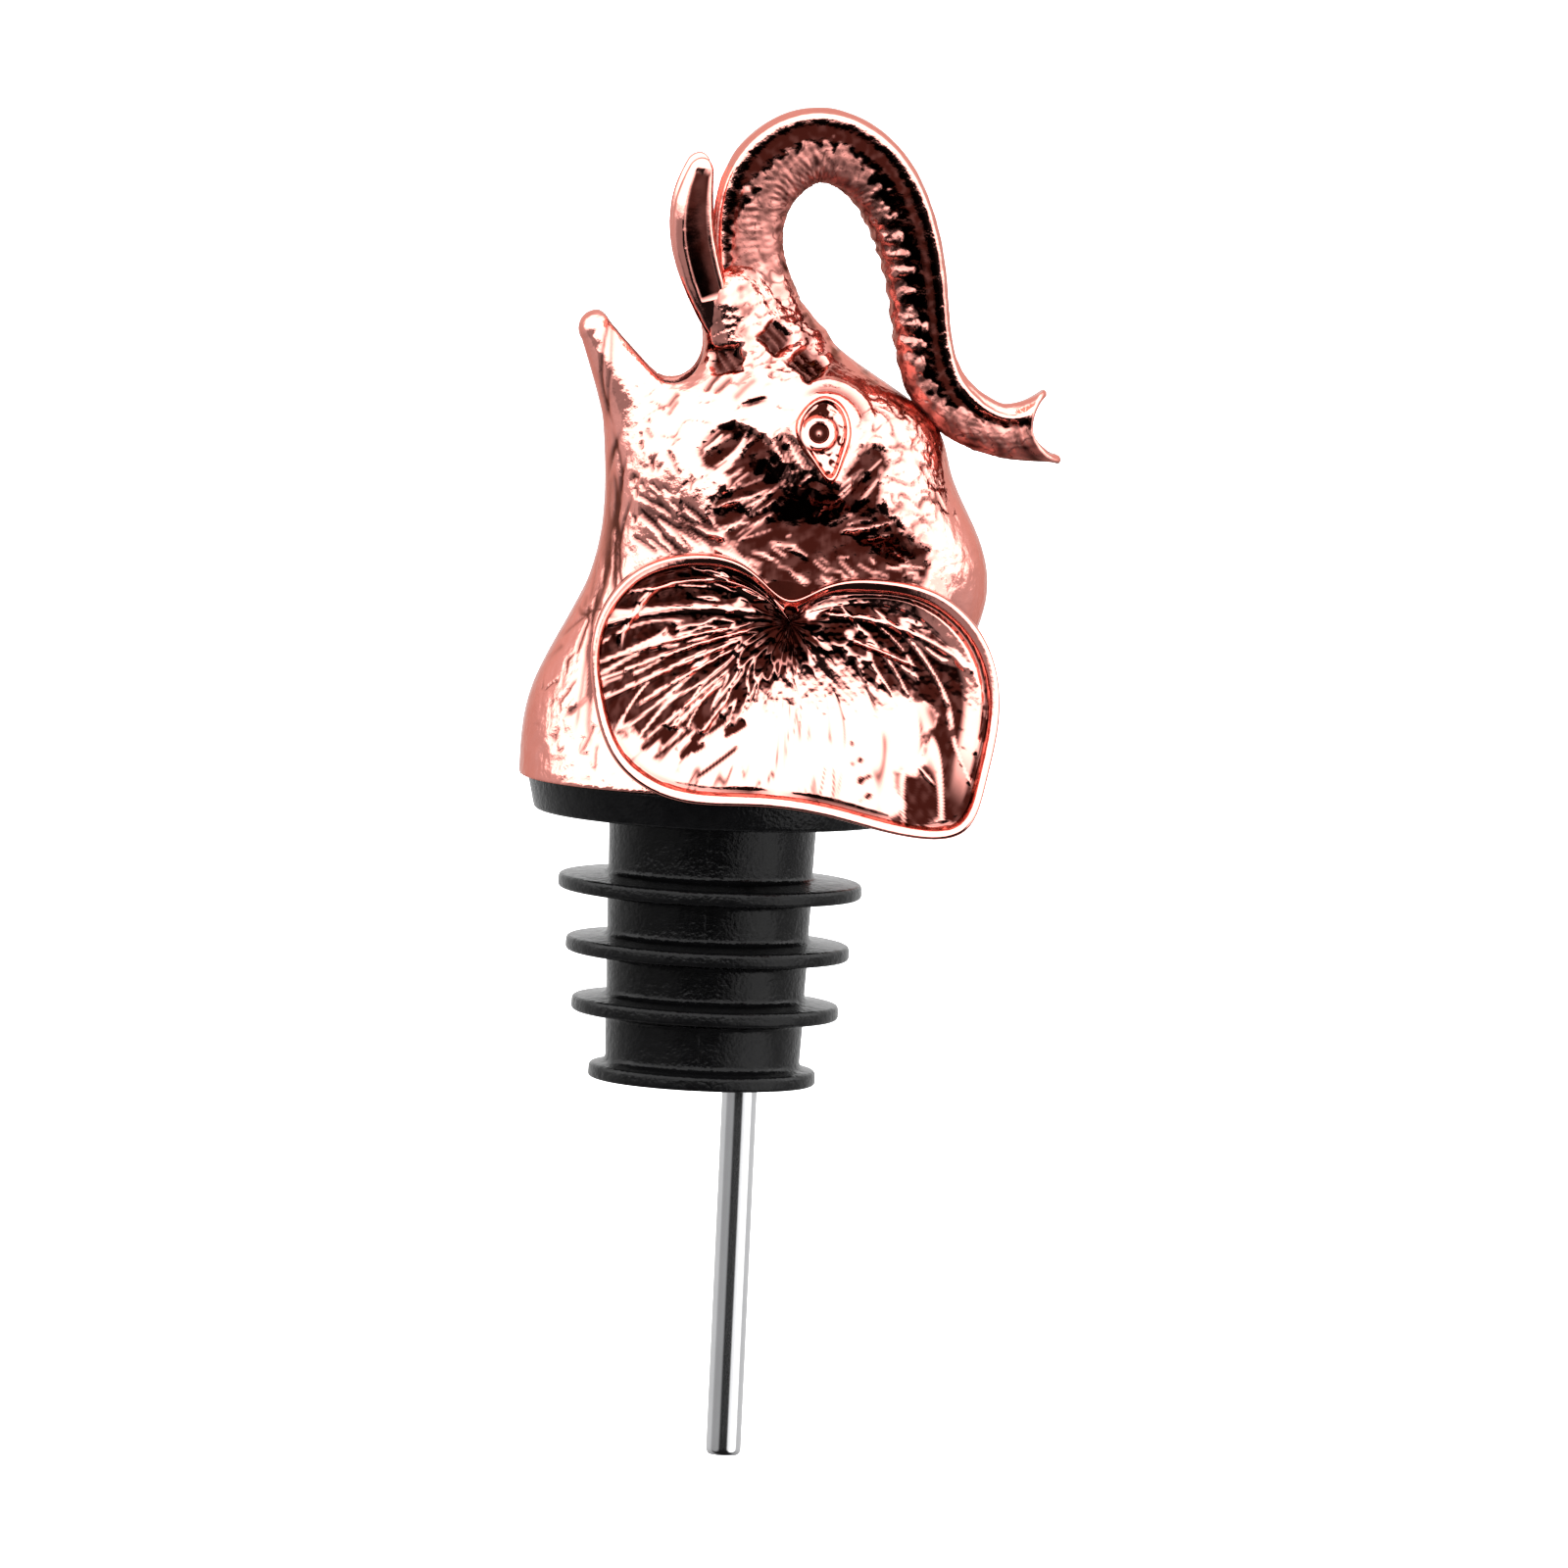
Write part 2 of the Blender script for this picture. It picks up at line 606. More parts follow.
def strokes(u, v, count, box, angle, spread, length, width, seed):
    """Strength of short lines: each is a bell across its line times a soft-ended band along it."""
    draw = np.random.default_rng(seed)
    total = np.zeros_like(u)
    near = (u > box[0] - 3) & (u < box[1] + 3) & (v > box[2] - 3) & (v < box[3] + 3)
    pu, pv = u[near], v[near]
    part = np.zeros_like(pu)
    for _ in range(count):
        cu, cv = draw.uniform(box[0], box[1]), draw.uniform(box[2], box[3])
        turn = angle + draw.normal() * spread
        reach = draw.uniform(*length) / 2
        half = width * draw.uniform(0.7, 1.3)
        along, across = turned_by(pu - cu, pv - cv, turn)
        across = across + 0.05 * along ** 2 * draw.uniform(-1, 1)
        part += bell(across, half) * smoothstep(reach, reach * 0.6, np.abs(along)) * draw.uniform(0.6, 1)
    total[near] = np.minimum(part, 1.0)
    return total


def cell(u, v, cu, cv, half_u, half_v, turn, soft=0.22):
    """Soft-edged box turned about its middle: the product of two bands."""
    along, across = np.abs(turned_by(u - cu, v - cv, turn))
    return smoothstep(half_u + soft, half_u - soft, along) * smoothstep(half_v + soft, half_v - soft, across)


# Dark cells where the trunk leaves the brow: middle, half sizes, turn
BROW_CELLS = [(-0.6, 38.5, 1.35, 1.1, 8), (3.5, 40.5, 1.15, 1.1, -42), (6.3, 38.3, 1.35, 1.15, -45)]
# Lines that stand up in the cheek's hollow: count, box, angle, spread, length, half width, seed
HOLLOW_RIDGES = [
    (16, (-1.8, 1.2, 28.4, 32.2), 46, 4, (2.2, 5.2), 0.12, 21),
    (20, (-1.0, 3.2, 23.6, 28.4), 28, 9, (1.6, 4.6), 0.12, 22),
    (11, (3.4, 6.4, 28.6, 32.0), -62, 4, (2.4, 4.6), 0.12, 23),
    (6, (9.5, 14.5, 23.6, 26.2), 14, 8, (1.8, 3.8), 0.12, 24),
    (8, (9.6, 12.8, 27.6, 31.2), 44, 6, (1.4, 3.2), 0.13, 25),
    (26, (8.0, 17.0, 19.2, 22.6), -20, 14, (0.7, 2.6), 0.13, 26),
    (14, (0.6, 7.0, 20.2, 23.2), -24, 12, (0.8, 2.8), 0.13, 27),
    (10, (2.5, 11.0, 22.5, 29.0), 35, 40, (0.5, 1.6), 0.11, 28),
]
# Dark lines cut into the bright skin
CUTS = [
    (34, (-6.8, 0.4, 21.4, 26.4), -36, 8, (1.4, 4.6), 0.16, 31),
    (12, (-6.4, -3.0, 24.0, 30.0), -46, 14, (0.8, 2.2), 0.15, 32),
    (2, (-5.0, -4.5, 33.6, 35.4), 52, 4, (1.6, 2.2), 0.22, 33),
    (4, (-1.6, 1.4, 35.0, 36.8), 47, 4, (2.0, 3.0), 0.24, 34),
    (2, (1.4, 2.2, 34.6, 35.0), 14, 3, (1.7, 2.0), 0.24, 35),
    (9, (-8.0, -6.4, 24.0, 37.0), -65, 30, (0.4, 1.3), 0.18, 40),
]
# Fainter straight lines: the neck, the length of the jaw
FAINT_CUTS = [
    (16, (-14.8, -9.5, 4.0, 18.0), 66, 18, (1.0, 4.0), 0.16, 41),
    (24, (-11.6, -8.2, 8.0, 39.0), 89, 3, (5.0, 14.0), 0.19, 42),
]
# Broken wavy wrinkles: size, stretch, angle, half width, share kept, middle, half sizes of their patch, seed
WRINKLES = [
    (2.1, 2.4, -52, 0.085, 0.4, (14.2, 30.5), (4.6, 8.0), 44),
    (1.5, 1.4, 24, 0.07, 0.15, (14.6, 30.0), (4.2, 7.4), 45),
    (1.5, 1.6, 44, 0.10, 0.35, (2.6, 40.2), (5.4, 4.2), 46),
    (2.6, 1.6, 20, 0.045, -0.1, (0.0, 33.0), (9.0, 7.0), 47),
    (2.6, 2.0, 70, 0.045, -0.2, (-9.0, 12.0), (7.0, 10.0), 48),
]


def wrinkles(u, v, size, stretch, angle, width, share, middle, halves, seed):
    """Strength of wavy lines: a bell of stretched noise about zero, broken by a second noise, in an oval."""
    along, across = turned_by(u, v, angle)
    line = bell(flat_lumps(along / stretch, across, size, seed, 2), width)
    kept = smoothstep(-share - 0.15, -share + 0.2, flat_lumps(u, v, 3.0, seed + 20, 2))
    oval = np.hypot((u - middle[0]) / halves[0], (v - middle[1]) / halves[1])
    return line * kept * smoothstep(1.1, 0.8, oval)


def head_relief(points, normals):
    """Height and darkness of the skin's relief: broad forms first, then folds, then fine lines."""
    x, y, z = points.T
    su, sv = side_view(x, y, z)
    cheek = smoothstep(0.12, 0.6, np.abs(normals[:, 1]))
    height = np.zeros_like(x)

    def mound(cu, cv, wu, wv, tall, turn=0.0):
        along, across = turned_by(su - cu, sv - cv, turn)
        return tall * cheek * np.exp(-((along / wu) ** 2 + (across / wv) ** 2))

    # Broad forms: cheekbone, jaw, temple, forehead
    height += mound(7.8, 33.4, 4.2, 3.8, 0.5)
    height += mound(-4.6, 30.4, 2.6, 5.0, 0.6, -10)
    height += mound(15.0, 30.5, 3.2, 6.0, 0.5, 20)
    height += mound(2.6, 36.4, 4.6, 1.5, 0.45, 12)
    height += mound(-5.0, 35.0, 1.8, 2.4, 0.35, 40)
    # Hollow of the cheek, with a step at its ragged edge and a floor that slopes
    ragged = 0.35 * flat_lumps(su, sv, 2.4, 51, 2) + 0.16 * flat_lumps(su, sv, 0.9, 52, 2)
    depth = inside_of(su, sv, HOLLOW) + ragged
    hollow = smoothstep(-0.2, 0.3, depth) * cheek
    height -= cheek * (0.32 * smoothstep(-0.3, 0.35, depth) + 1.0 * smoothstep(0.0, 3.6, depth))
    height += mound(6.0, 24.8, 3.6, 1.6, -0.5, 8)
    ridge = np.zeros_like(x)
    for line in HOLLOW_RIDGES:
        ridge = np.maximum(ridge, strokes(su, sv, *line))
    ridge *= cheek
    # Folds where the trunk leaves the brow
    cells = np.zeros_like(x)
    for spot in BROW_CELLS:
        cells = np.maximum(cells, cell(su + 0.12 * np.sin(sv * 5), sv, *spot))
    cells *= cheek
    inner_line = bell(((su + sv) * 0.707 * 2.6 + 0.6) % 2.0 - 1.0, 0.28)
    height -= cells * (0.45 - 0.08 * inner_line)
    height += mound(4.9, 39.4, 0.35, 1.7, 0.3, -45) + mound(7.9, 39.4, 0.4, 1.9, 0.25, -45)
    height += mound(1.4, 39.4, 0.5, 1.5, 0.3, 8)
    # Second fold of the lid, above and behind the eye
    from_eye = np.hypot((su - EYE[0] - 0.5) / 0.95, sv - EYE[1])
    around = np.arctan2(sv - EYE[1], su - EYE[0] - 0.5)
    fold = bell(from_eye - 4.1, 0.34) * smoothstep(0.05, 0.4, around) * smoothstep(2.0, 1.5, around)
    crease = bell(from_eye - 3.55, 0.26) * smoothstep(0.15, 0.5, around) * smoothstep(2.3, 1.7, around)
    height += cheek * (0.34 * fold - 0.2 * crease)
    # Dark lines of the bright skin
    cuts = np.zeros_like(x)
    for line in CUTS:
        cuts = np.maximum(cuts, strokes(su, sv, *line))
    cuts *= smoothstep(0.05, 0.3, np.abs(normals[:, 1])) * (1 - hollow)
    faint = np.zeros_like(x)
    for line in FAINT_CUTS:
        faint = np.maximum(faint, strokes(su, sv, *line))
    for line in WRINKLES:
        faint = np.maximum(faint, wrinkles(su, sv, *line))
    faint *= (1 - hollow) * smoothstep(0.08, 0.4, np.abs(normals[:, 1]))
    height += 0.16 * ridge * hollow - 0.17 * cuts - 0.13 * faint
    # Uneven casting
    height += 0.05 * lumps(x, y, z, 3.4, 7) * cheek + 0.03 * lumps(x, y, z, 1.2, 8, 2) * (0.25 + 0.75 * cheek)
    height += 0.035 * hollow * flat_lumps(su, sv, 0.8, 53, 2)
    # The eye's own piece lies here, so the skin is drawn back under it
    height -= 0.6 * cheek * smoothstep(0.25, 0.9, inside_of(su, sv, EYE_RIM, 2.0))
    tone = 1 - 0.03 * smoothstep(-0.3, 0.8, flat_lumps(su, sv, 1.5, 54, 3))
    # Darkness, from the hollow and the brow's cells to the lines of the bright skin
    shade = np.maximum(hollow * tone * (1 - 0.92 * ridge ** 2.2), cells * tone * (1 - 0.1 * inner_line))
    shade = np.maximum(shade, np.maximum(0.97 * cuts, 0.9 * faint))
    # Blotches where the trunk begins
    blotch = smoothstep(-0.2, 0.9, flat_lumps(su, sv, 1.7, 55, 3)) * smoothstep(38.0, 43.0, sv + su * 0.4)
    shade = np.maximum(shade, 0.82 * blotch * (1 - cells))
    shade = np.maximum(shade, 0.8 * crease * cheek)
    # Duller plate behind the ear, where the polishing wheel can't reach
    behind = smoothstep(-0.6, 1.8, inside_of(su, sv, EAR + EAR_BEHIND)) * cheek
    shade = np.maximum(shade, 0.74 * behind)
    quiet = smoothstep(SKULL_FOOT, SKULL_FOOT + 0.6, z)
    return height * quiet, shade * quiet


def head_skin():
    """Skull, jaw, gums and trunk root as one skin of the blended field, with the relief along its normals, in
    a left and a right half that meet in the middle plane and share the normals there."""
    points, faces, normals = head_net((-17.6, -17.6, 2.4), (24.4, 17.6, 50.6), SKIN_STEP)
    height, shade = head_relief(points, normals)
    inside = smoothstep(0.5, -0.1, throat_field(points))
    height = height * (1 - inside) + inside * 0.05 * lumps(*points.T, 2.6, 9)
    height[points[:, 2] < SKULL_FOOT + 0.02] = 0
    points = points + normals * height[:, None]
    points[:, 2] = np.maximum(points[:, 2], SKULL_FOOT)
    shade = np.maximum(shade * (1 - inside), 0.85 * inside)
    smooth = smooth_normals(points, faces)
    centre = points[faces, 1].mean(axis=1)
    halves = []
    for name, chosen in (("left_head_skin", centre < 0), ("right_head_skin", centre >= 0)):
        used, numbers = np.unique(faces[chosen], return_inverse=True)
        values = {"shade": shade[used], "frost": 0.5 * inside[used]}
        half = make_piece(name, points[used], numbers.reshape(-1, 4), values, smooth[used])
        halves.append(place(half, SPOUT, "plated_head", "head_casting"))
    return halves


def trunk():
    """Trunk carried along its path: a squarish oval with a bead along each edge of the back, a flat side, and
    teeth of skin folds that climb from the underside over part of the side."""
    path = TRUNK_PATH
    rows, columns = 560, 156
    end = path["s"][-1]
    s = np.linspace(TRUNK_START, end, rows)
    centre, heading, (reach, width, bead, limit, teeth) = sampled(path, s)
    around = np.linspace(0, 2 * math.pi, columns, endpoint=False)[None, :]
    s = s[:, None]
    # Angle 0 is the outer back of the curl and pi its underside
    c, n = np.cos(around), np.sin(around)
    turn = np.degrees(np.abs((around + math.pi) % (2 * math.pi) - math.pi))
    power = 2.9
    level = (np.abs(c) ** power + np.abs(n) ** power) ** (-1 / power)
    off, side = reach * c * level, width * n * level
    flat_s, flat_c, flat_n = np.broadcast_arrays(s, 3 * c, 3 * n)
    start = smoothstep(TRUNK_START, TRUNK_START + 2.6, flat_s)
    waver = lumps(flat_s * 0.7, flat_c, flat_n, 3.4, 61, 2)
    pitch = 1.15 + 0.75 * smoothstep(26, 32, s)
    walk = 2 * math.pi * s / pitch + 1.3 * flat_lumps(s * 0.5, 0, 3.0, 62, 2)
    tooth = np.sin(walk + (turn - limit) * 0.06 + 1.8 * waver)
    edge = limit + teeth * (0.5 * tooth + 0.5 * waver) + 12 * lumps(flat_s, flat_c, flat_n, 1.5, 63, 3)
    dark = smoothstep(bead + 5, bead + 9, turn) * smoothstep(edge + 5, edge - 5, turn)
    below = smoothstep(edge - 6, edge + 6, turn)
    strength = np.clip(teeth / 20, 0.0, 1) ** 2.2
    height = 0.30 * bell(turn - bead, 7.5) - 0.16 * bell(turn - bead - 17, 9)
    lean = (turn - limit) * 0.035 + 0.9 * waver
    height += below * 0.13 * strength * (np.cos(walk + lean) * 0.7 + 0.3)
    height += 0.06 * below * lumps(flat_s, flat_c, flat_n, 0.9, 64, 2)
    height += 0.025 * dark * lumps(flat_s, flat_c, flat_n, 1.0, 65, 2)
    height += 0.03 * lumps(flat_s, flat_c, flat_n, 2.6, 66, 2)
    # Pits of the underside
    pits = smoothstep(0.75, 1.15, lumps(flat_s, flat_c, flat_n, 0.9, 67, 2)) * below
    height -= 0.10 * pits
    # Two-lipped tip: the back and the underside each draw out into a lip, with a notch between them
    tip = smoothstep(end - 2.6, end, s)
    height = height * (1 - 0.75 * tip) - 0.32 * (1 - start)
    radial = np.hypot(off, side)
    off, side = off * (1 + height / radial), side * (1 + height / radial)
    lip = 0.95 * np.abs(c) ** 3 - 0.8 * np.abs(n) ** 4 + 0.25 * (c < 0) * np.abs(c) ** 3
    ahead = tip * lip
    x = centre[:, :1] - heading[:, 1:2] * off + heading[:, :1] * ahead
    z = centre[:, 1:2] + heading[:, :1] * off + heading[:, 1:2] * ahead
    rings = [np.stack([x, side, z], axis=-1)]
    # Rounded lip and nostril: rings that turn over and run back inside to a closed end
    for inward, shift in NOSTRIL_RINGS:
        step_off, step_side = off[-1] * inward, side[-1] * inward
        step_ahead = ahead[-1] * smoothstep(0.2, 0.9, np.array(inward)) + shift
        rings.append(np.stack([
            centre[-1, 0] - heading[-1, 1] * step_off + heading[-1, 0] * step_ahead,
            step_side,
            centre[-1, 1] + heading[-1, 0] * step_off + heading[-1, 1] * step_ahead,
        ], axis=-1)[None])
    rings = np.concatenate(rings)
    shade = np.zeros(rings.shape[:2])
    frost = np.zeros(rings.shape[:2])
    patches = lumps(flat_s, flat_c, flat_n, 1.7, 68, 3)
    begun = smoothstep(TRUNK_START + 0.5, TRUNK_START + 6.0, flat_s + 1.3 * patches)
    mottled = below * (0.5 + 0.4 * patches) * (0.35 + 0.65 * begun)
    veins = bell(lumps(flat_s, flat_c, flat_n, 1.9, 69, 2), 0.09) * below
    tone = 1 - 0.022 * smoothstep(-0.2, 0.8, lumps(flat_s, flat_c, flat_n, 1.4, 70, 3))
    dark = dark * smoothstep(TRUNK_START + 1.0, TRUNK_START + 3.0, flat_s + 0.8 * patches)
    shade[:rows] = np.maximum.reduce([dark * tone, 0.9 * pits, mottled, (0.86 + 0.08 * strength) * veins])
    shade[rows + 3:] = 0.9
    frost[:rows] = below * (1 - 0.6 * strength) * begun
    piece = make_piece("trunk", rings.reshape(-1, 3), grid_faces(len(rings), columns),
                       {"shade": shade.ravel(), "frost": frost.ravel()})
    return place(piece, SPOUT, "plated_head", "head_casting")


def skull_side(x, z):
    """Depth of the head's skin beside (x, z): bisection of the field between the middle and well outside."""
    plan = plan_of(x, z)
    low, high = np.full_like(x, 1.0), np.full_like(x, 20.0)
    for _ in range(30):
        middle = (low + high) / 2
        inside = head_field(plan, middle) < 0
        low, high = np.where(inside, middle, low), np.where(inside, high, middle)
    return (low + high) / 2


def eye(side):
    """Eye in relief on the cheek: a polar grid of ball, ring, pupil and a raised almond rim."""
    rings, spokes = 84, 180
    reach = np.linspace(0, 1, rings)[:, None]
    rim = closed_outline(EYE_RIM, spokes) - EYE
    size = np.hypot(*rim.T)[None, :]
    grown = 1 + EYE_MARGIN / size
    u = EYE[0] + reach * grown * rim[:, 0]
    v = EYE[1] + reach * grown * rim[:, 1]
    # Back from the side view to the middle plane, with the skin's own depth
    x, z = u.copy(), v.copy()
    for _ in range(3):
        depth = skull_side(x, z)
        x = u - depth * math.sin(-VIEW_AZIMUTH)
        z = (v + depth * math.sin(VIEW_ELEVATION)) / math.cos(VIEW_ELEVATION)
    inward = (1 - reach) * (size + EYE_MARGIN)
    ball = np.hypot(u - EYE[0], v - EYE[1])
    bead = bell(inward - EYE_MARGIN - 0.05, 0.27)
    ring = bell(ball - 1.2, 0.27)
    pupil = smoothstep(0.9, 0.74, ball)
    socket = smoothstep(EYE_MARGIN + 0.25, EYE_MARGIN + 0.5, inward) * smoothstep(1.42, 1.62, ball)
    grain = flat_lumps(u, v, 0.8, 71, 2)
    height = 0.58 * bead + 0.24 * ring - 0.26 * pupil + 0.12 * bell(ball, 0.2)
    height += 0.34 * smoothstep(2.0, 0.3, ball) - 0.12 * socket + 0.05 * socket * grain
    height -= 0.7 * smoothstep(0.4, 0.0, inward)
    height += 0.45
    y = side * (depth - 0.15 + height)
    lid = smoothstep(0.9, 1.6, v - EYE[1]) * smoothstep(1.2, 0.2, u - EYE[0])
    socket_shade = socket * smoothstep(0.05, 0.4, grain + 0.9 * lid)
    shade = np.maximum(pupil * (1 - 0.8 * bell(ball, 0.17)), socket_shade)
    outline = bell(inward - 0.12, 0.2) * smoothstep(-0.5, 0.2, flat_lumps(u, v, 2.2, 72, 2))
    shade = np.maximum(shade, np.maximum(0.95 * outline, 0.9 * bell(ball - 1.62, 0.12)))
    shade = shade.ravel()
    piece = make_piece(hand(side) + "_eye", points_of(x, y, z), facing(grid_faces(rings, spokes), side),
                       {"shade": shade, "frost": 0 * shade})
    return place(piece, SPOUT, "plated_head", "head_casting")


def tusk(side):
    """Tusk along its path: an oval profile that tapers to a rounded tip, with a dark hollowed flank."""
    path = ribbed_path(TUSK, 300)
    rows, columns = 190, 96
    end = path["s"][-1]
    s = np.linspace(0, end, rows)
    centre, heading, (reach, width, middle) = sampled(path, s)
    around = np.linspace(0, 2 * math.pi, columns, endpoint=False)[None, :]
    s = s[:, None]
    close = np.sqrt(np.clip(1 - np.clip((s - end + 0.9) / 0.9, 0, 1) ** 2, 0, 1))
    c, n = np.cos(around), np.sin(around)
    grain = lumps(s * 0.5 + 0 * around, c + 0 * s, n + 0 * s, 1.4, 81)
    flank = smoothstep(0.2, 0.5, n) * smoothstep(0.52, 0.38, c + 0.03 * grain) * smoothstep(-0.84, -0.7, c)
    flank = flank * smoothstep(2.6, 3.2, s) * smoothstep(end - 0.7, end - 1.5, s)
    size = close * (1 + 0.012 * grain) - 0.16 * flank
    x = centre[:, :1] - heading[:, 1:2] * reach * size * c
    z = centre[:, 1:2] + heading[:, :1] * reach * size * c
    y = side * (middle + width * size * n)
    shade = flank * (0.985 + 0.015 * np.tanh(grain))
    piece = make_piece(hand(side) + "_tusk_horn", points_of(x, y, z), facing(grid_faces(rows, columns), side),
                       {"shade": shade.ravel(), "frost": 0.3 * flank.ravel()})
    return place(piece, SPOUT, "plated_trim", hand(side) + "_tusk")


# Long ribs of the ear: angle at the hub and at the rim, half width, and the share of the way where each runs
EAR_RIBS = [
    (147, 150, 0.45, 0.30, 0.80), (165, 183, 0.42, 0.20, 0.97), (187, 194, 0.17, 0.30, 0.95),
    (194, 199, 0.17, 0.20, 0.97), (203, 204, 0.20, 0.25, 0.97), (208, 211, 0.15, 0.30, 0.80),
    (220, 222, 0.16, 0.35, 0.90), (223, 225, 0.22, 0.40, 0.80), (233, 234, 0.15, 0.45, 0.70),
    (20, -16, 0.40, 0.25, 0.90), (-12, -20, 0.14, 0.30, 0.60), (-44, -46, 0.14, 0.30, 0.80),
]
# Angle about the hub in degrees, width of the ear's rim bead there, and strength of the dark line beside it
EAR_RIM = np.array([
    (-180, 0.75, 0.2), (-165, 0.7, 0.1), (-147, 0.9, 0.1), (-120, 1.1, 0.5), (-101, 1.0, 1.0),
    (-92, 1.0, 0.1),
    (-80, 1.0, 1.0), (-64, 1.0, 0.9), (-58, 1.0, 0.5), (-40, 0.85, 1.0), (-19, 0.9, 1.0), (5, 1.25, 0.9),
    (25, 1.3, 0.5), (60, 0.9, 0.3), (100, 0.8, 0.3), (134, 1.05, 0.8), (157, 1.05, 0.8), (172, 0.9, 0.5),
    (180, 0.75, 0.2),
])
# Side view place from which the ear's fine lines fan out
EAR_FAN = (5.8, 16.4)


def sector(angle, low, high, soft=8.0):
    """One within a range of angles in degrees, with soft ends; the range may pass 180."""
    away = np.abs((angle - (low + high) / 2 + 180) % 360 - 180)
    half = (high - low) / 2
    return smoothstep(half + soft, half - soft, away)


def ear_fan(su, sv):
    """Direction round the root, bent towards the foot far from it, and the distance from the root."""
    across, up = su - EAR_FAN[0], sv - EAR_FAN[1]
    away = np.hypot(across, up)
    right = smoothstep(-1.0, 7.0, across)
    turn = np.arctan2(across + 3.0 * right, 5.0 * right - up)
    return turn + 0.022 * away * np.tanh(across / 3), away


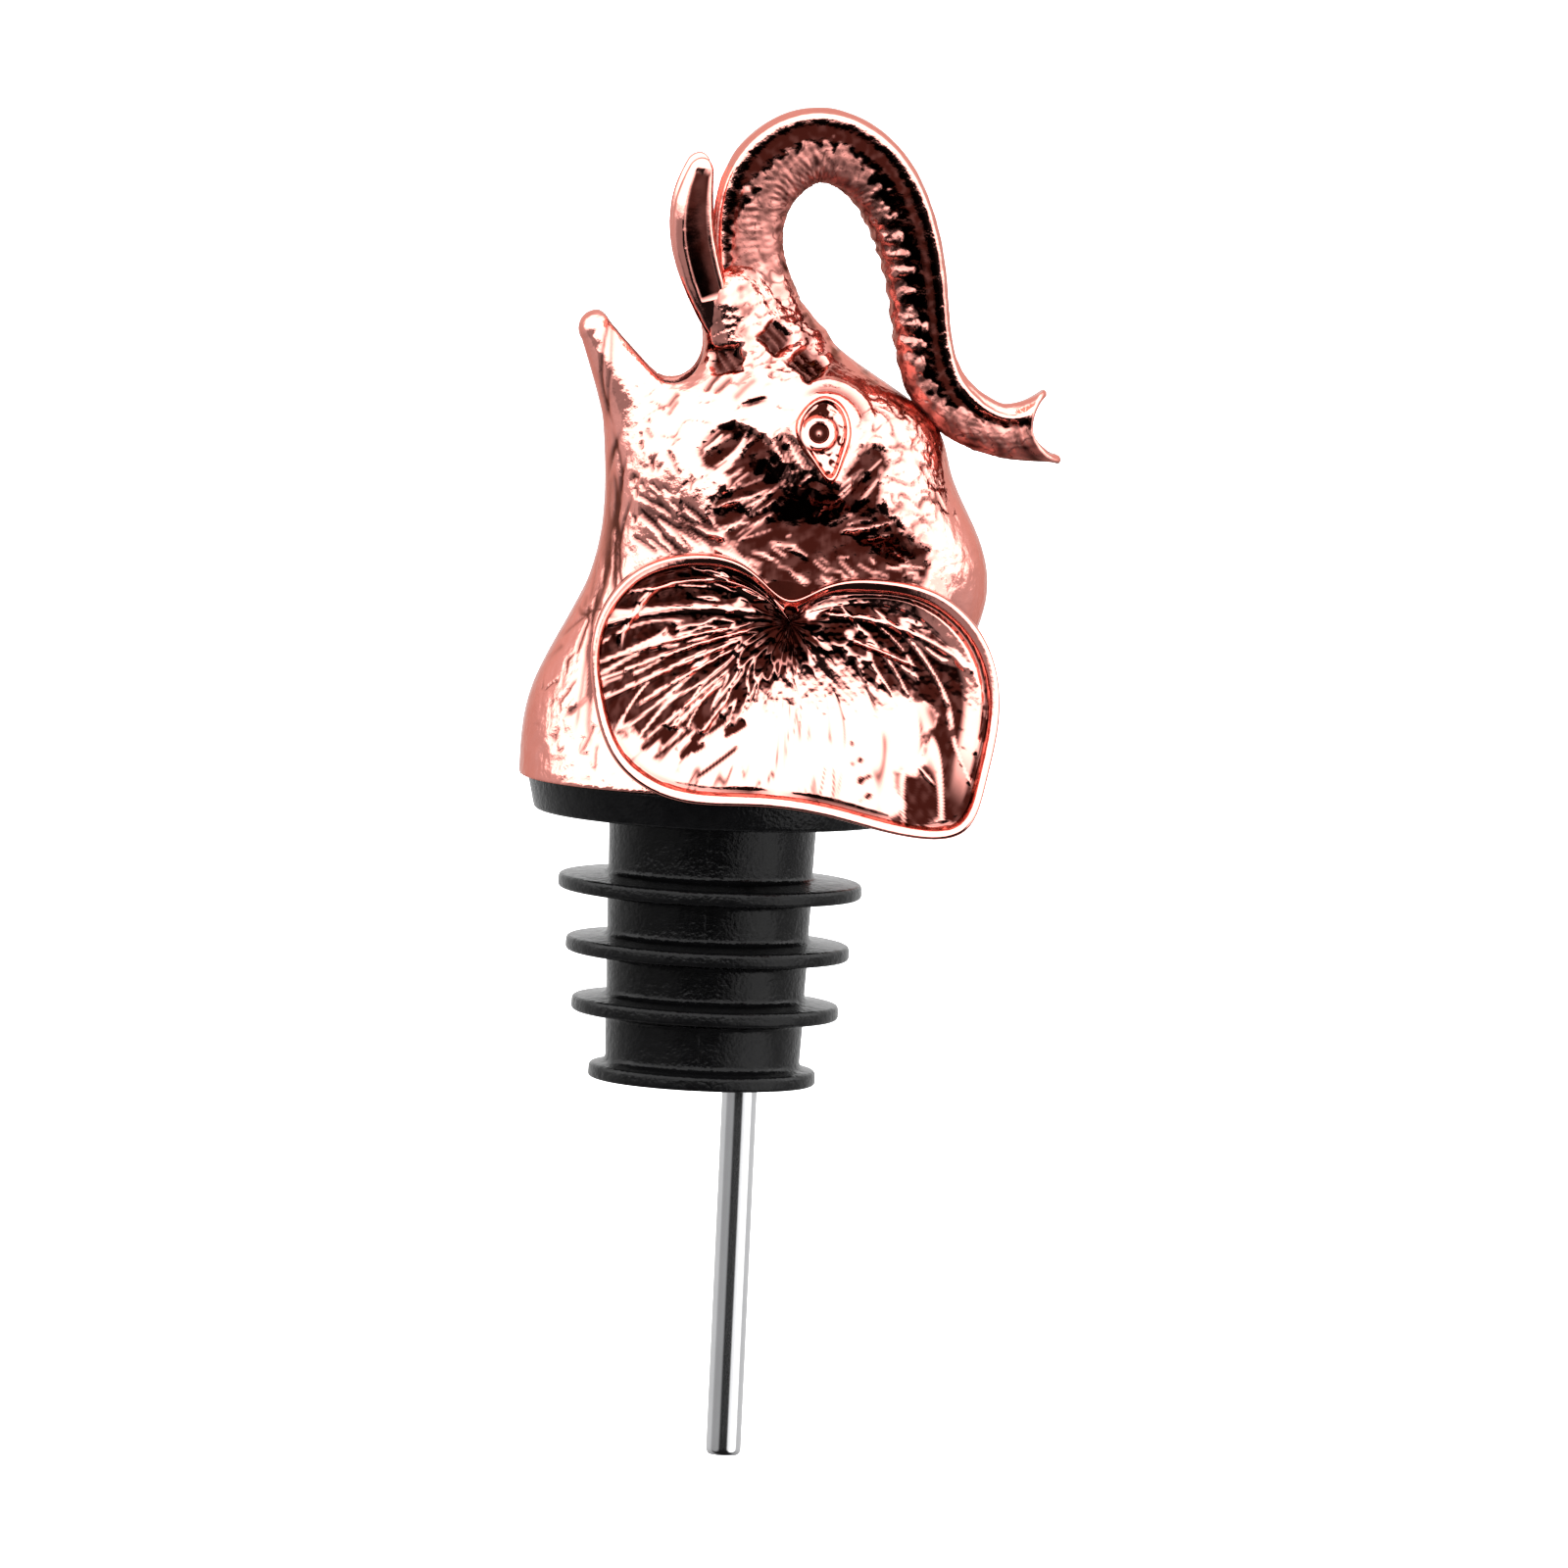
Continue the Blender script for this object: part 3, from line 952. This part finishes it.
def ear_front(outline, reach):
    """Grid of the dish's front skin: place in the middle plane, height over the dish and darkness."""
    hub = np.array(EAR_HUB)
    flat = hub + reach[..., None] * (outline - hub)[None, :, :]
    x, z = flat[..., 0], flat[..., 1]
    spoke = np.arctan2(outline[:, 1] - hub[1], outline[:, 0] - hub[0])[None, :]
    degrees = np.degrees(spoke)
    size = np.hypot(*(outline - hub).T)[None, :]
    deep = -ear_sphere(x, z, EAR_BACK_RADIUS - EAR_THICKNESS)
    su, sv = side_view(x, deep, z)
    ahead = np.roll(outline, -1, axis=0) - np.roll(outline, 1, axis=0)
    ahead /= np.linalg.norm(ahead, axis=1)[:, None]
    from_hub = outline - hub
    edge = (1 - reach) * np.abs(from_hub[:, 0] * ahead[:, 1] - from_hub[:, 1] * ahead[:, 0])[None, :]
    rim_width, line_strength = (np.interp(degrees, EAR_RIM[:, 0], column) for column in EAR_RIM[:, 1:].T)
    rim = smoothstep(rim_width, rim_width * 0.9, edge)
    bead = np.sqrt(np.clip(1 - (2 * edge / rim_width - 1) ** 4, 0, 1))
    # Lines that fan out from the root: coarse beside it, finer far from it
    fan, away = ear_fan(su, sv)
    near = smoothstep(9.0, 4.0, away)
    noise = flat_lumps(fan * 6.5, away * 0.07, 1.0, 92, 2) * (1 - near)
    noise += flat_lumps(fan * 2.0, away * 0.3, 1.0, 98, 3) * near
    broken = smoothstep(-0.75, -0.35, flat_lumps(su, sv, 2.6, 101, 2))
    lines = bell(noise, 0.14) * broken
    streak = np.tanh(1.5 * flat_lumps(fan * 4.0, away * 0.1, 1.0, 99, 2))
    grain = flat_lumps(su, sv, 0.8, 93, 2)
    ragged = 0.35 + 0.5 * flat_lumps(su, sv, 2.2, 94, 2) + 0.3 * grain + 0.6 * streak
    left = inside_of(su, sv, EAR_DARK_LEFT)
    right = inside_of(su, sv, EAR_DARK_RIGHT)
    dark = smoothstep(-0.25, 0.35, np.maximum(left, right) + ragged)
    ribs = np.zeros_like(x)
    for start, stop, half, first, last in EAR_RIBS:
        across = (spoke - np.radians(start + (stop - start) * reach)) % (2 * math.pi)
        across = np.minimum(across, 2 * math.pi - across) * reach * size
        band = smoothstep(first - 0.04, first + 0.04, reach) * smoothstep(last + 0.04, last - 0.04, reach)
        ribs = np.maximum(ribs, bell(across + 0.12 * grain, half) * band)
    # Folds beside the rim: a bright ribbon over the mouth side's lobe, a pale band on the forehead's side
    fold = bell(edge - rim_width - 1.7 + 0.2 * streak, 0.3) * sector(degrees, 106, 190)
    ribbon = bell(edge - rim_width - 0.7, 0.3) * sector(degrees, 112, 138)
    pale = smoothstep(0.5, 0.8, edge - rim_width) * smoothstep(2.3, 1.7, edge - rim_width)
    pale = pale * sector(degrees, -38, 24)
    brown = bell(edge - rim_width - 0.9 - 0.3 * grain, 0.5) * sector(degrees, 8, 40)
    line_in = bell(edge - rim_width - 0.22, 0.25) * line_strength
    notch = cell(su, sv, 5.4, 15.6, 0.75, 2.6, 4, 0.5)
    folded = smoothstep(0.35, 0.8, fold + 0.9 * ribbon)
    bright = np.maximum.reduce([smoothstep(0.3, 0.75, ribs), folded, pale])
    shown = np.maximum(smoothstep(0.25, 0.8, lines) * smoothstep(2.0, 5.5, away), bright)
    spots = smoothstep(0.85, 1.05, flat_lumps(su, sv, 1.5, 95, 2))
    dashes = strokes(su, sv, 16, (-6.0, 3.5, 4.0, 9.0), 37, 5, (1.0, 5.5), 0.24, 104)
    marks = np.maximum(spots, smoothstep(0.1, 0.55, dashes)) * (1 - dark)
    faint = bell(flat_lumps(fan * 4.6, away * 0.08, 1.0, 102, 2), 0.075) * smoothstep(6.0, 8.0, away)
    faint = faint * (1 - dark) * smoothstep(-0.2, 0.3, flat_lumps(su, sv, 4.0, 103, 2))
    up = smoothstep(-0.25, 0.45, np.sin(spoke))
    relief = 0.11 * lines * (0.2 + 0.8 * dark) + 0.05 * streak + 0.30 * ribs * dark
    relief = relief + 0.25 * fold + 0.28 * ribbon
    relief += 0.15 * pale - 0.25 * line_in - 0.30 * notch - 0.08 * marks - 0.06 * faint
    relief += (0.02 + 0.03 * dark) * grain
    height = EAR_RIM_RISE * bead + relief * (1 - rim)
    height -= 0.55 * np.sin(reach * math.pi) ** 1.5 * (0.35 + 0.65 * up)
    tone = 1 - 0.03 * smoothstep(-0.2, 0.8, flat_lumps(su, sv, 1.3, 105, 3))
    shade = np.maximum(dark * tone * (1 - 0.95 * shown), notch * (1 - 0.7 * lines))
    shade = np.maximum.reduce([shade, 0.9 * faint, line_in, marks, 0.9 * brown])
    return x, z, height, shade * (1 - rim)


def ear_sphere(x, z, radius):
    """Y of the sphere about the ear's centre, on the side of the skull."""
    from_root = np.hypot(x - EAR_ROOT[0], z - EAR_ROOT[2])
    return EAR_ROOT[1] - EAR_BACK_RADIUS + np.sqrt(radius ** 2 - from_root ** 2)


def ear(side):
    """Ear as one polar grid about its hub, the front skin out to the rim and then the dish's outer sphere
    back to the hub, with the stalk behind it."""
    spokes, rings, back_rings = 460, 118, 30
    outline = closed_outline(EAR, spokes)
    reach = np.linspace(0.0, 1.0, rings)[:, None]
    x, z, height, shade = ear_front(outline, reach)
    front = np.stack([x, ear_sphere(x, z, EAR_BACK_RADIUS - EAR_THICKNESS) - height, z], axis=-1)
    reach = np.linspace(1.0, 0.0, back_rings)[:, None]
    flat = np.array(EAR_HUB) + reach[..., None] * (outline - np.array(EAR_HUB))[None, :, :]
    x, z = flat[..., 0], flat[..., 1]
    y = ear_sphere(x, z, EAR_BACK_RADIUS) + 0.06 * lumps(x, z, z, 3.0, 96) * smoothstep(1.0, 0.9, reach)
    back = np.stack([x, y, z], axis=-1)
    points = np.concatenate([front, back]).reshape(-1, 3)
    stalk, stalk_faces = ear_stalk()
    faces = np.concatenate([grid_faces(rings + back_rings, spokes), stalk_faces + len(points)])
    points = np.concatenate([points, stalk])
    points[:, 1] *= -side
    # The back is duller than the rim, and the stalk is dark
    dull = np.broadcast_to(0.74 * smoothstep(1.0, 0.93, reach), x.shape)
    shade = np.concatenate([shade.ravel(), dull.ravel(), np.ones(len(stalk))])
    piece = make_piece(hand(side) + "_ear_flap", points, facing(faces, side),
                       {"shade": shade, "frost": 0 * shade})
    return place(piece, SPOUT, "plated_trim", hand(side) + "_ear")


def ear_stalk():
    """Root of the ear: a waisted tube from inside the skull to inside the dish, closed at both ends."""
    rows, columns = 26, 72
    t = np.linspace(0, 1, rows)[:, None]
    around = np.linspace(0, 2 * math.pi, columns, endpoint=False)[None, :]
    flare = 2.0 + 1.2 * (1 - np.sin(t * math.pi)) ** 2
    flare[[0, -1]] = 0.01
    x = EAR_ROOT[0] + flare * 1.2 * np.cos(around)
    z = EAR_ROOT[2] + flare * np.sin(around)
    y = np.broadcast_to(EAR_ROOT[1] + 2.4 - 3.6 * t, x.shape)
    return points_of(x, y, z), grid_faces(rows, columns)[:, ::-1]


# ---------------------------------------------------------------- stopper and tubes

BORE_RADIUS = 6.05
FLANGE_TOP = 3.0
FLANGE_TOP_RADIUS = 16.0
FLANGE_FOOT_RADIUS = 15.3
PLUG_TOP_RADIUS = 8.9
PLUG_FOOT_RADIUS = 8.3
PLUG_FOOT = -22.7
FLOOR_TOP = -20.1
# Fins of the stopper: height of the middle and radius
STOPPER_FINS = [(-6.0, 13.0), (-11.3, 12.15), (-16.4, 11.45), (-22.1, 9.75)]
# Holes meant to go through the stopper's floor: x of the middle and radius
FLOOR_HOLES = [(3.3, 1.56), (-1.8, 2.6)]


def stopper():
    """Rubber moulding turned from a rounded profile, with a fine parting line down two opposite sides.  Known
    fault: the drills' faces point inwards, so the floor stays closed and only the holes' outlines are left on
    it."""
    corners = [
        (BORE_RADIUS, FLOOR_TOP, 0.2), (BORE_RADIUS, FLANGE_TOP, 0.3),
        (FLANGE_TOP_RADIUS, FLANGE_TOP, 0.35), (FLANGE_FOOT_RADIUS, 0.0, 0.45), (PLUG_TOP_RADIUS, 0.0, 0.8),
    ]
    for height, radius in STOPPER_FINS:
        plug = PLUG_TOP_RADIUS + (PLUG_FOOT_RADIUS - PLUG_TOP_RADIUS) * (height / PLUG_FOOT)
        corners += [(plug, height + 0.95, 0.6), (radius - 0.05, height + 0.6, 0.42)]
        if height == STOPPER_FINS[-1][0]:
            corners += [(radius, height - 0.6, 0.35), (0.01, PLUG_FOOT, 0.0)]
        else:
            corners += [(radius, height - 0.6, 0.42), (plug, height - 0.95, 0.6)]
    corners += [(0.01, FLOOR_TOP, 0.0)]
    profile = rounded(corners[::-1])

    def parting(radius, height, angle):
        line = 0.0
        for centre in (math.radians(-93), math.radians(87)):
            gap = (angle - centre + math.pi) % (2 * math.pi) - math.pi
            line = line + bell(gap * radius + 0.12 * np.sin(height * 0.9), 0.15)
        wobble = 0.02 * np.sin(3 * angle + 0.4) + 0.012 * np.sin(7 * angle + height * 0.3)
        return radius + (radius > 8.0) * (wobble - 0.05 - 0.07 * line)

    points, faces = turned(profile, 512, parting)
    piece = make_piece("stopper_moulding", points, faces)
    for middle, radius in FLOOR_HOLES:
        outline = np.array([(0.001, -24.0), (radius, -24.0), (radius, -19.0), (0.001, -19.0)])
        drill, drill_faces = turned(outline, 72)
        drill[:, 0] += middle
        cut_out(piece, drill, drill_faces[:, ::-1])
    return place(piece, BASE, "stopper_rubber", "stopper")


def cut_out(piece, points, faces):
    """Takes a closed shape with outward faces out of a piece, keeps the result as the piece's mesh and makes
    its sharp corners sharp."""
    drill = make_piece("drill", points, faces)
    cut = piece.modifiers.new("cut", "BOOLEAN")
    cut.operation = "DIFFERENCE"
    cut.solver = "EXACT"
    cut.object = drill
    shape = piece.evaluated_get(bpy.context.evaluated_depsgraph_get())
    mesh = bpy.data.meshes.new_from_object(shape)
    piece.modifiers.remove(cut)
    piece.data = mesh
    mesh.shade_smooth()
    mesh.set_sharp_from_angle(angle=math.radians(50))
    bpy.data.objects.remove(drill)


def air_tube():
    """Steel tube: a ring of changing radius carried up its route outside and back down the bore.  The route
    is straight, then an arc, then straight again at the lean."""
    foot, bend_start, bend_radius, lean, lean_length = -54.64, 12.0, 24.0, math.radians(21.0), 10.0
    tube_x, outer, bore = 3.3, 1.5, 1.1
    arc = np.linspace(0, lean, 24)
    bend_x = tube_x - bend_radius
    line = np.concatenate([
        np.stack([np.full(60, tube_x), np.linspace(foot, bend_start, 60)], axis=1)[:-1],
        np.stack([bend_x + bend_radius * np.cos(arc), bend_start + bend_radius * np.sin(arc)], axis=1),
    ])
    top = line[-1] + lean_length * np.array([-math.sin(lean), math.cos(lean)])
    line = np.concatenate([line, line[-1] + (top - line[-1]) * np.linspace(0, 1, 12)[1:, None]])
    heading = np.gradient(line, axis=0)
    heading /= np.linalg.norm(heading, axis=1)[:, None]
    # Rounded tip, outer wall, rounded top, then the bore back down
    lip_radius = (outer - bore) / 2
    middle = (outer + bore) / 2
    rows = [(line[0], heading[0], bore, 0.12)]
    for angle in np.linspace(0, math.pi / 2, 8):
        rows.append((line[0], heading[0], bore + 0.06 + (outer - bore - 0.06) * math.sin(angle),
                     0.62 * (1 - math.cos(angle))))
    rows += [(p, h, outer, 0.0) for p, h in zip(line[2:-1], heading[2:-1])]
    for angle in np.linspace(0, math.pi, 9):
        ring_radius = middle + lip_radius * math.cos(angle)
        rows.append((line[-1], heading[-1], ring_radius, 0.2 * math.sin(angle) - 0.2))
    rows += [(p, h, bore, 0.0) for p, h in zip(line[-2:0:-1], heading[-2:0:-1])]
    centre = np.array([r[0] for r in rows])
    along = np.array([r[1] for r in rows])
    radius = np.array([r[2] for r in rows])[:, None]
    shift = np.array([r[3] for r in rows])[:, None]
    around = np.linspace(0, 2 * math.pi, 96, endpoint=False)[None, :]
    x = centre[:, :1] + along[:, :1] * shift + along[:, 1:2] * radius * np.cos(around)
    z = centre[:, 1:2] + along[:, 1:2] * shift - along[:, :1] * radius * np.cos(around)
    y = radius * np.sin(around)
    piece = make_piece("air_tube_steel", points_of(x, y, z), grid_faces(len(rows), 96, closed_rows=True))
    return place(piece, SPOUT, "tube_steel", "air_tube")


# ---------------------------------------------------------------- materials

def add_node(nodes, kind, values=None, **settings):
    """Node of a kind with its own settings, and values for its inputs by name or number."""
    made = nodes.new(kind)
    for key, value in settings.items():
        setattr(made, key, value)
    for key, value in (values or {}).items():
        made.inputs[key].default_value = value
    return made


def cast_grain_group():
    """Shared effect: uneven polish of a casting, as a mask and a small height, from two noises."""
    group = bpy.data.node_groups.new("cast_grain", "ShaderNodeTree")
    for name, value in (("Size", 900.0), ("Pits", 0.5)):
        made = group.interface.new_socket(name=name, in_out="INPUT", socket_type="NodeSocketFloat")
        made.default_value = value
    for name in ("Mask", "Height"):
        group.interface.new_socket(name=name, in_out="OUTPUT", socket_type="NodeSocketFloat")
    nodes, links = group.nodes, group.links
    entry, leave = nodes.new("NodeGroupInput"), nodes.new("NodeGroupOutput")
    where = nodes.new("ShaderNodeTexCoord")
    soft = add_node(nodes, "ShaderNodeTexNoise", {"Detail": 3.0})
    fine = add_node(nodes, "ShaderNodeTexNoise", {"Detail": 2.0})
    larger = add_node(nodes, "ShaderNodeMath", {1: 3.1}, operation="MULTIPLY")
    pits = add_node(nodes, "ShaderNodeMath", operation="MULTIPLY_ADD")
    links.new(entry.outputs["Size"], soft.inputs["Scale"])
    links.new(entry.outputs["Size"], larger.inputs[0])
    links.new(larger.outputs[0], fine.inputs["Scale"])
    links.new(where.outputs["Object"], soft.inputs["Vector"])
    links.new(where.outputs["Object"], fine.inputs["Vector"])
    links.new(fine.outputs["Fac"], pits.inputs[0])
    links.new(entry.outputs["Pits"], pits.inputs[1])
    links.new(soft.outputs["Fac"], pits.inputs[2])
    links.new(soft.outputs["Fac"], leave.inputs["Mask"])
    links.new(pits.outputs[0], leave.inputs["Height"])
    return group


def new_material(name):
    """Material with its nodes, its links and its shader."""
    material = bpy.data.materials.new(name)
    material.use_nodes = True
    nodes = material.node_tree.nodes
    return material, nodes, material.node_tree.links, nodes["Principled BSDF"]


def mixed(nodes, links, factor, low, high):
    """Mix of two colours by a factor."""
    mix = add_node(nodes, "ShaderNodeMix", {6: low, 7: high}, data_type="RGBA")
    links.new(factor, mix.inputs[0])
    return mix.outputs[2]


def attribute(nodes, name):
    """Reader of a number stored on the mesh's points."""
    return add_node(nodes, "ShaderNodeAttribute", attribute_name=name).outputs["Fac"]


def with_grain(nodes, grain, size, pits):
    """The shared effect placed in a material."""
    return add_node(nodes, "ShaderNodeGroup", {"Size": size, "Pits": pits}, node_tree=grain)


def ranged(nodes, links, value, low, high, first=0.0, last=1.0):
    """Value carried from the range first to last over to the range low to high."""
    ends = {"From Min": first, "From Max": last, "To Min": low, "To Max": high}
    ramp = add_node(nodes, "ShaderNodeMapRange", ends)
    links.new(value, ramp.inputs["Value"])
    return ramp.outputs["Result"]


def bumped(nodes, links, shader, effect, depth):
    """Lets the effect's height bend the shader's normal."""
    bump = add_node(nodes, "ShaderNodeBump", {"Strength": 1.0, "Distance": depth})
    links.new(effect.outputs["Height"], bump.inputs["Height"])
    links.new(bump.outputs["Normal"], shader.inputs["Normal"])


def plated_metal(name, grain, size, bump_depth):
    """Rose-gold plate: a mirror with uneven polish, darker in its recesses and frosted where it is rough."""
    material, nodes, links, shader = new_material(name)
    shader.inputs["Metallic"].default_value = 1.0
    shader.inputs["Specular Tint"].default_value = (0.86, 0.56, 0.50, 1)
    effect = with_grain(nodes, grain, size, 0.35)
    tone = mixed(nodes, links, effect.outputs["Mask"], (0.66, 0.255, 0.215, 1), (0.73, 0.305, 0.262, 1))
    colour = add_node(nodes, "ShaderNodeMix", {7: (0.014, 0.0024, 0.0016, 1)}, data_type="RGBA")
    links.new(attribute(nodes, "shade"), colour.inputs[0])
    links.new(tone, colour.inputs[6])
    links.new(colour.outputs[2], shader.inputs["Base Color"])
    polish = ranged(nodes, links, effect.outputs["Mask"], 0.05, 0.13, 0.35, 0.7)
    frosted = add_node(nodes, "ShaderNodeMath", {1: 0.42}, operation="MULTIPLY_ADD")
    links.new(attribute(nodes, "frost"), frosted.inputs[0])
    links.new(polish, frosted.inputs[2])
    links.new(frosted.outputs[0], shader.inputs["Roughness"])
    bumped(nodes, links, shader, effect, bump_depth)
    return material


def rubber(grain):
    """Satin black rubber with a fine grain and an uneven sheen."""
    material, nodes, links, shader = new_material("black_rubber")
    effect = with_grain(nodes, grain, 1100.0, 0.8)
    dark, pale = (0.0008, 0.0008, 0.0009, 1), (0.0026, 0.0026, 0.0028, 1)
    colour = mixed(nodes, links, effect.outputs["Mask"], dark, pale)
    links.new(colour, shader.inputs["Base Color"])
    links.new(ranged(nodes, links, effect.outputs["Mask"], 0.08, 0.24), shader.inputs["Roughness"])
    shader.inputs["Specular IOR Level"].default_value = 0.1
    bumped(nodes, links, shader, effect, 0.00007)
    return material


def steel(name, grain, rough_low, rough_high):
    """Polished steel tube with faint drawing lines along its length."""
    material, nodes, links, shader = new_material(name)
    shader.inputs["Metallic"].default_value = 1.0
    effect = with_grain(nodes, grain, 300.0, 0.2)
    colour = mixed(nodes, links, effect.outputs["Mask"], (0.52, 0.52, 0.53, 1), (0.60, 0.60, 0.61, 1))
    links.new(colour, shader.inputs["Base Color"])
    where = nodes.new("ShaderNodeTexCoord")
    stretch = add_node(nodes, "ShaderNodeMapping", {"Scale": (2600.0, 2600.0, 25.0)})
    lines = add_node(nodes, "ShaderNodeTexNoise", {"Scale": 1.0})
    links.new(where.outputs["Object"], stretch.inputs["Vector"])
    links.new(stretch.outputs["Vector"], lines.inputs["Vector"])
    links.new(ranged(nodes, links, lines.outputs["Fac"], rough_low, rough_high), shader.inputs["Roughness"])
    return material


def moulded(name, grain, low, high, rough):
    """Moulded plastic or silicone: a soft uneven colour and a fine surface grain."""
    material, nodes, links, shader = new_material(name)
    effect = with_grain(nodes, grain, 500.0, 0.4)
    links.new(mixed(nodes, links, effect.outputs["Mask"], low, high), shader.inputs["Base Color"])
    shader.inputs["Roughness"].default_value = rough
    bumped(nodes, links, shader, effect, 0.00004)
    return material


def paint(piece, material):
    """Gives a piece one material."""
    piece.data.materials.clear()
    piece.data.materials.append(material)


# ---------------------------------------------------------------- studio

def view_axes():
    """Right, up and back directions of the view before its roll."""
    a, e = VIEW_AZIMUTH, VIEW_ELEVATION
    right = Vector((math.cos(a), math.sin(a), 0))
    back = Vector((math.sin(a) * math.cos(e), -math.cos(a) * math.cos(e), math.sin(e)))
    return right, back.cross(right), back


def camera():
    """Long lens square to the left cheek, a little from above and rolled."""
    right, up, back = view_axes()
    c, s = math.cos(VIEW_ROLL), math.sin(VIEW_ROLL)
    across, upward = right * c + up * s, up * c - right * s
    target = right * VIEW_CENTRE[0] + up * VIEW_CENTRE[1]
    data = bpy.data.cameras.new("camera")
    data.sensor_width = SENSOR_WIDTH
    data.lens = SENSOR_WIDTH * VIEW_DISTANCE / VIEW_WIDTH
    data.clip_end = 20
    made = bpy.data.objects.new("camera", data)
    bpy.context.scene.collection.objects.link(made)
    made.matrix_world = Matrix.Translation(target + back * VIEW_DISTANCE) @ Matrix(
        (across, upward, back)).transposed().to_4x4()
    bpy.context.scene.camera = made


def floor():
    """Plain pale floor well under the air tube's tip."""
    mesh = bpy.data.meshes.new("floor")
    size, height = 6.0, cad_low[2] - FLOOR_DROP
    corners = [(-size, -size, height), (size, -size, height), (size, size, height), (-size, size, height)]
    mesh.from_pydata(corners, [], [(0, 1, 2, 3)])
    made = bpy.data.objects.new("floor", mesh)
    bpy.context.scene.collection.objects.link(made)
    material, _, _, shader = new_material("pale_floor")
    shader.inputs["Base Color"].default_value = (0.9, 0.9, 0.9, 1)
    shader.inputs["Roughness"].default_value = 0.9
    mesh.materials.append(material)
    made.visible_glossy = False


def studio():
    """World by direction: bright above and dark below in front, even behind, with two panels low towards the
    forehead's side and a weaker one towards the mouth's."""
    world = bpy.data.worlds.new("studio")
    bpy.context.scene.world = world
    world.use_nodes = True
    nodes, links = world.node_tree.nodes, world.node_tree.links
    background = nodes["Background"]
    where = nodes.new("ShaderNodeTexCoord")
    parts = nodes.new("ShaderNodeSeparateXYZ")
    links.new(where.outputs["Generated"], parts.inputs["Vector"])

    def ramp(value, low, high):
        """Smooth step of a value from low to high."""
        made = nodes.new("ShaderNodeMapRange")
        made.interpolation_type = "SMOOTHSTEP"
        made.inputs["From Min"].default_value = low
        made.inputs["From Max"].default_value = high
        links.new(value, made.inputs["Value"])
        return made.outputs["Result"]

    def cone(way, inner, outer):
        """Mask of the directions within the outer angle of a way, full within the inner one."""
        dot = nodes.new("ShaderNodeVectorMath")
        dot.operation = "DOT_PRODUCT"
        dot.inputs[1].default_value = Vector(way).normalized()
        links.new(where.outputs["Generated"], dot.inputs[0])
        return ramp(dot.outputs["Value"], math.cos(math.radians(outer)), math.cos(math.radians(inner)))

    def mix(mask, low, high):
        """Strength that goes from low to high with the mask; either may be a number or a socket."""
        made = nodes.new("ShaderNodeMix")
        made.data_type = "FLOAT"
        links.new(mask, made.inputs[0])
        for slot, value in ((2, low), (3, high)):
            if isinstance(value, float):
                made.inputs[slot].default_value = value
            else:
                links.new(value, made.inputs[slot])
        return made.outputs[0]

    low = mix(cone((0.85, -0.53, -0.08), 22, 36), 0.015, 3.0)
    low = mix(cone((0.56, -0.81, -0.15), 6, 16), low, 1.6)
    low = mix(cone((-0.87, -0.5, -0.08), 20, 34), low, 0.5)
    low_behind = mix(ramp(parts.outputs["Z"], -0.7, 0.0), 0.55, 0.95)
    low = mix(ramp(parts.outputs["Y"], -0.22, 0.14), low, low_behind)
    high = mix(ramp(parts.outputs["Y"], 0.25, 0.6), 4.4, 1.15)
    strength = mix(ramp(parts.outputs["Z"], 0.0, 0.22), low, high)
    seen = nodes.new("ShaderNodeLightPath")
    links.new(mix(seen.outputs["Is Camera Ray"], strength, 1.0), background.inputs["Strength"])
    background.inputs["Color"].default_value = (1, 1, 1, 1)
    bpy.context.scene.view_settings.view_transform = "Standard"


# ---------------------------------------------------------------- assembly

def main():
    """Camera, light and floor, then every piece with its material."""
    camera()
    studio()
    floor()
    grain = cast_grain_group()
    head_plate = plated_metal("rose_gold_cast", grain, 900.0, 0.00008)
    trim_plate = plated_metal("rose_gold_trim", grain, 700.0, 0.00004)
    for half in head_skin():
        paint(half, head_plate)
    paint(trunk(), head_plate)
    for side in (-1, 1):
        paint(eye(side), head_plate)
        paint(tusk(side), trim_plate)
        paint(ear(side), trim_plate)
    paint(stopper(), rubber(grain))
    polished = steel("polished_tube", grain, 0.12, 0.19)
    paint(air_tube(), polished)
    paint(softened_node("stem", "stem_tube", 0.12, SPOUT, "tube_steel"), polished)
    paint(softened_node("stem_seal", "seal_ring", 0.1, SPOUT, "seal_rubber"),
          moulded("milky_silicone", grain, (0.62, 0.62, 0.6, 1), (0.72, 0.72, 0.7, 1), 0.4))
    paint(softened_node("tube_holder", "holder_plug", 0.15, SPOUT, "holder_plastic"),
          moulded("white_plastic", grain, (0.7, 0.7, 0.68, 1), (0.78, 0.78, 0.76, 1), 0.35))


main()
